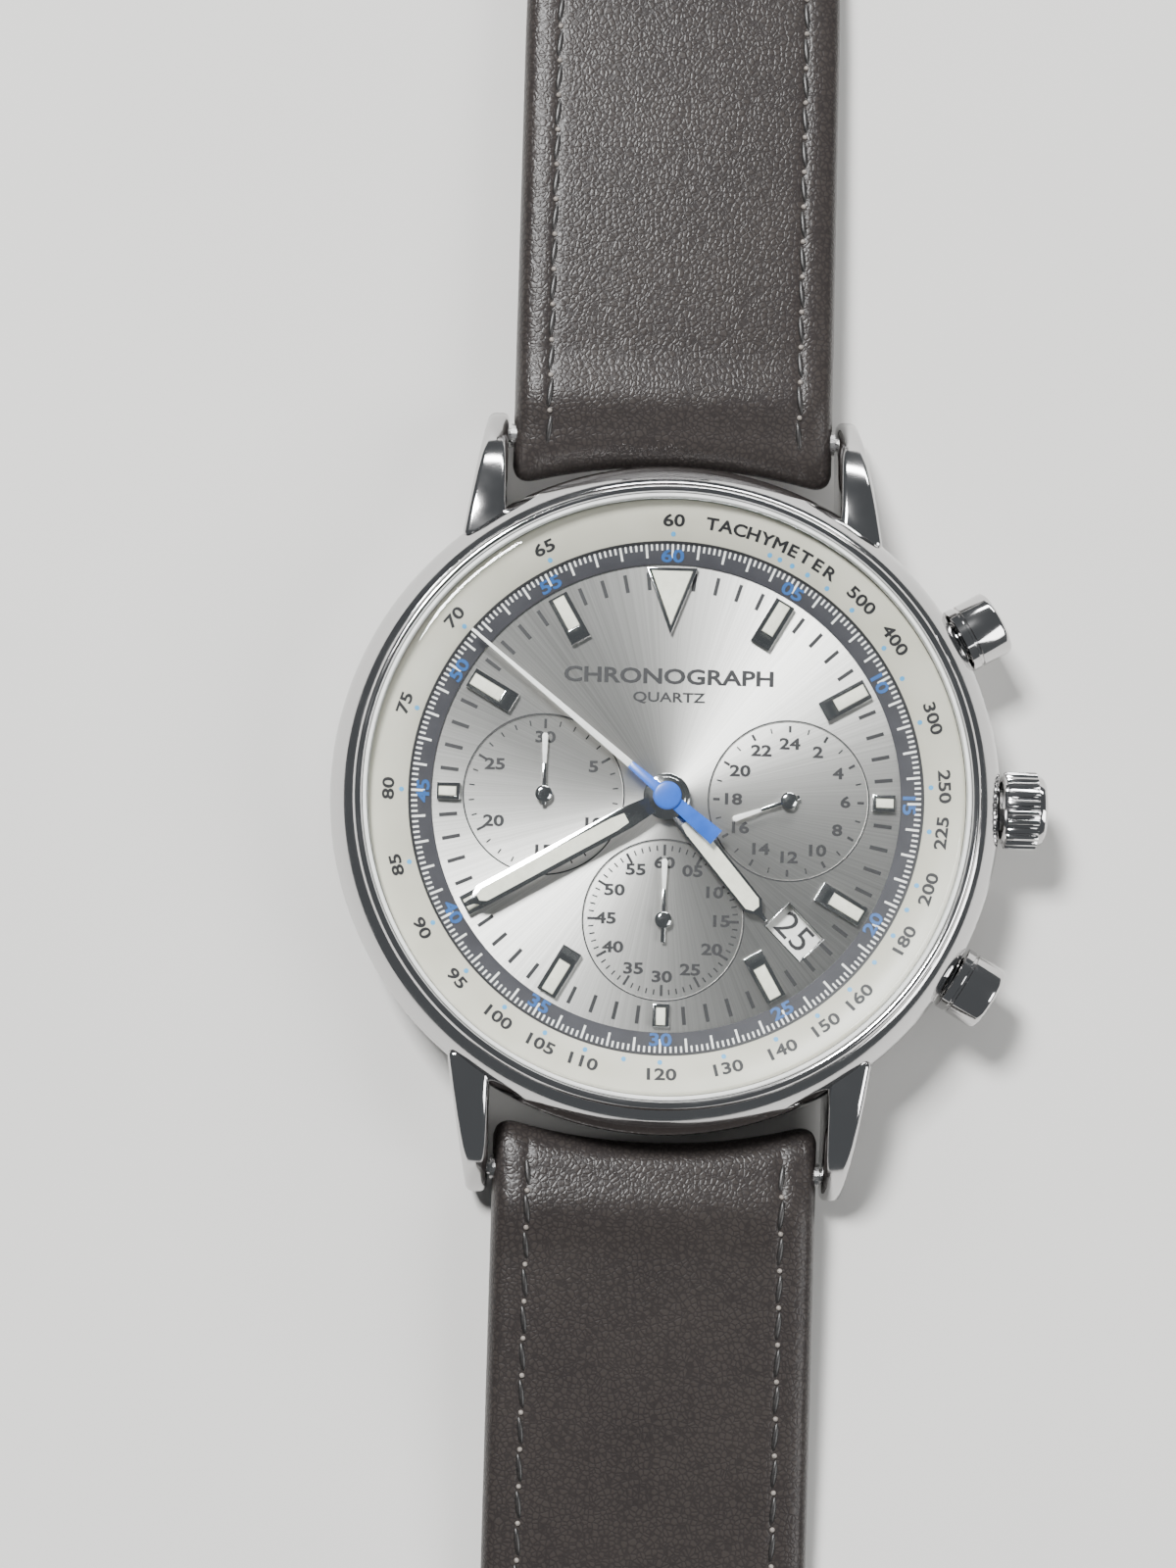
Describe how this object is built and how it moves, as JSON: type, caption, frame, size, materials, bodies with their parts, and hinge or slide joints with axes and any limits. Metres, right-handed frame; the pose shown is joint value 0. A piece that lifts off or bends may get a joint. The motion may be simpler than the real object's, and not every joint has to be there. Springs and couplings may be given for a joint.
{
  "type": "chronograph wristwatch",
  "caption": "Round chronograph wristwatch on an open leather strap, with sub-dials, date window, crown, pushers and a pin buckle.",
  "frame": {"origin": "centre of the case back's outer face, on the hands' axis", "axes": "+X to the crown at 3 o'clock, +Y to 12 o'clock along the open strap, +Z out of the crystal"},
  "size_m": [0.0451, 0.2494, 0.0114],
  "materials": {
    "polished_steel": "mirror polished stainless steel",
    "brushed_steel": "fine brushed stainless steel",
    "crystal_glass": "clear polished mineral glass",
    "gasket_nylon": "translucent white nylon",
    "black_rubber": "matte black rubber",
    "silver_dial": "silver plated with a fine sunburst brushing",
    "cream_flange": "satin cream with black and blue printing",
    "grey_flange": "satin dark grey with white ticks and blue numbers",
    "blue_paint": "gloss blue enamel",
    "white_print": "matte white with dark figures",
    "plated_brass": "nickel plated brass",
    "copper_wire": "varnished copper wire",
    "circuit_green": "green printed circuit",
    "black_plastic": "moulded black plastic",
    "grey_leather": "fine pebbled leather in dark grey-taupe with matching stitching"
  },
  "bodies": {
    "case": {"case_middle": "polished_steel", "bezel": "polished_steel", "battery": "polished_steel", "hour_marker_1": "polished_steel", "hour_marker_2": "polished_steel", "hour_marker_3": "polished_steel", "hour_marker_4": "polished_steel", "hour_marker_5": "polished_steel", "hour_marker_6": "polished_steel", "hour_marker_7": "polished_steel", "hour_marker_8": "polished_steel", "hour_marker_9": "polished_steel", "hour_marker_10": "polished_steel", "hour_marker_11": "polished_steel", "hour_marker_12": "polished_steel", "case_back": "brushed_steel", "date_ring_cover": "brushed_steel", "train_bridge": "brushed_steel", "crown_tube": "brushed_steel", "upper_pusher_tube": "brushed_steel", "lower_pusher_tube": "brushed_steel", "upper_pusher_spring": "brushed_steel", "lower_pusher_spring": "brushed_steel", "spring_bar_12": "brushed_steel", "spring_bar_6": "brushed_steel", "crystal": "crystal_glass", "crystal_gasket": "gasket_nylon", "case_back_gasket": "black_rubber", "dial": "silver_dial", "tachymeter_ring": "cream_flange", "seconds_ring": "grey_flange", "main_plate": "plated_brass", "motor_coil": "copper_wire", "circuit_board": "circuit_green", "dial_seat_ring": "black_plastic", "movement_holder": "black_plastic"},
    "crown_slide": {"crown_gasket": "black_rubber"},
    "crown": {"crown": "polished_steel", "winding_stem": "brushed_steel"},
    "upper_pusher": {"upper_pusher": "polished_steel", "upper_pusher_clip": "brushed_steel"},
    "lower_pusher": {"lower_pusher": "polished_steel", "lower_pusher_clip": "brushed_steel"},
    "hour_hand": {"hour_hand": "polished_steel", "hour_wheel": "plated_brass"},
    "minute_hand": {"minute_hand": "polished_steel"},
    "chronograph_seconds_hand": {"chronograph_seconds_hand": "blue_paint"},
    "small_seconds_hand": {"small_seconds_hand": "polished_steel"},
    "minute_counter_hand": {"minute_counter_hand": "polished_steel"},
    "day_night_hand": {"day_night_hand": "polished_steel"},
    "date_disc": {"date_disc": "white_print"},
    "strap_buckle_piece": {"strap_buckle_piece": "grey_leather", "fixed_keeper": "grey_leather"},
    "strap_hole_piece": {"strap_hole_piece": "grey_leather"},
    "free_keeper": {"free_keeper": "grey_leather"},
    "buckle": {"buckle_frame": "polished_steel", "buckle_bar": "brushed_steel"},
    "buckle_tongue": {"buckle_tongue": "polished_steel"}
  },
  "joints": [
    {"name": "crown_pull", "type": "slide", "parent": "case", "child": "crown_slide", "axis": [1, 0, 0], "range_m": [0, 0.0012]},
    {"name": "crown_turn", "type": "hinge", "parent": "crown_slide", "child": "crown", "pos_m": [0.0226, 0, 0.0049], "axis": [1, 0, 0], "continuous": true},
    {"name": "upper_pusher_press", "type": "slide", "parent": "case", "child": "upper_pusher", "axis": [-0.866, -0.5, 0], "range_m": [0, 0.001], "stiffness_N_per_m": 1500, "springref_m": -0.0006, "deforming": ["upper_pusher_spring"]},
    {"name": "lower_pusher_press", "type": "slide", "parent": "case", "child": "lower_pusher", "axis": [-0.866, 0.5, 0], "range_m": [0, 0.001], "stiffness_N_per_m": 1500, "springref_m": -0.0006, "deforming": ["lower_pusher_spring"]},
    {"name": "minute_hand_turn", "type": "hinge", "parent": "case", "child": "minute_hand", "pos_m": [0, 0, 0.0086], "axis": [0, 0, -1], "continuous": true},
    {"name": "hour_hand_turn", "type": "hinge", "parent": "case", "child": "hour_hand", "pos_m": [0, 0, 0.0082], "axis": [0, 0, -1], "continuous": true},
    {"name": "small_seconds_turn", "type": "hinge", "parent": "case", "child": "small_seconds_hand", "pos_m": [0, -0.00765, 0.0077], "axis": [0, 0, -1], "continuous": true},
    {"name": "day_night_turn", "type": "hinge", "parent": "case", "child": "day_night_hand", "pos_m": [0.00765, 0, 0.0077], "axis": [0, 0, -1], "continuous": true},
    {"name": "date_disc_turn", "type": "hinge", "parent": "case", "child": "date_disc", "pos_m": [0, 0, 0.00645], "axis": [0, 0, -1], "continuous": true},
    {"name": "chronograph_seconds_turn", "type": "hinge", "parent": "case", "child": "chronograph_seconds_hand", "pos_m": [0, 0, 0.009], "axis": [0, 0, -1], "continuous": true},
    {"name": "minute_counter_turn", "type": "hinge", "parent": "case", "child": "minute_counter_hand", "pos_m": [-0.00765, 0, 0.0077], "axis": [0, 0, -1], "continuous": true},
    {"name": "buckle_strap_swing", "type": "hinge", "parent": "case", "child": "strap_buckle_piece", "pos_m": [0, 0.0233, 0.0033], "axis": [1, 0, 0], "range_deg": [-80, 40]},
    {"name": "hole_strap_swing", "type": "hinge", "parent": "case", "child": "strap_hole_piece", "pos_m": [0, -0.0233, 0.0033], "axis": [-1, 0, 0], "range_deg": [-80, 40]},
    {"name": "buckle_swing", "type": "hinge", "parent": "strap_buckle_piece", "child": "buckle", "pos_m": [0, 0.0983, 0.00235], "axis": [1, 0, 0], "range_deg": [-20, 40]},
    {"name": "tongue_swing", "type": "hinge", "parent": "buckle", "child": "buckle_tongue", "pos_m": [0, 0.0983, 0.00235], "axis": [1, 0, 0], "range_deg": [0, 60]},
    {"name": "free_keeper_slide", "type": "slide", "parent": "strap_buckle_piece", "child": "free_keeper", "axis": [0, 1, 0], "range_m": [-0.0035, 0.0045]}
  ],
  "couplings": [
    {"joint": "hour_hand_turn", "follows": "minute_hand_turn", "ratio": 0.083333},
    {"joint": "small_seconds_turn", "follows": "minute_hand_turn", "ratio": 60},
    {"joint": "day_night_turn", "follows": "minute_hand_turn", "ratio": 0.041667},
    {"joint": "date_disc_turn", "follows": "minute_hand_turn", "ratio": -0.0013441},
    {"joint": "minute_counter_turn", "follows": "chronograph_seconds_turn", "ratio": 0.033333}
  ]
}
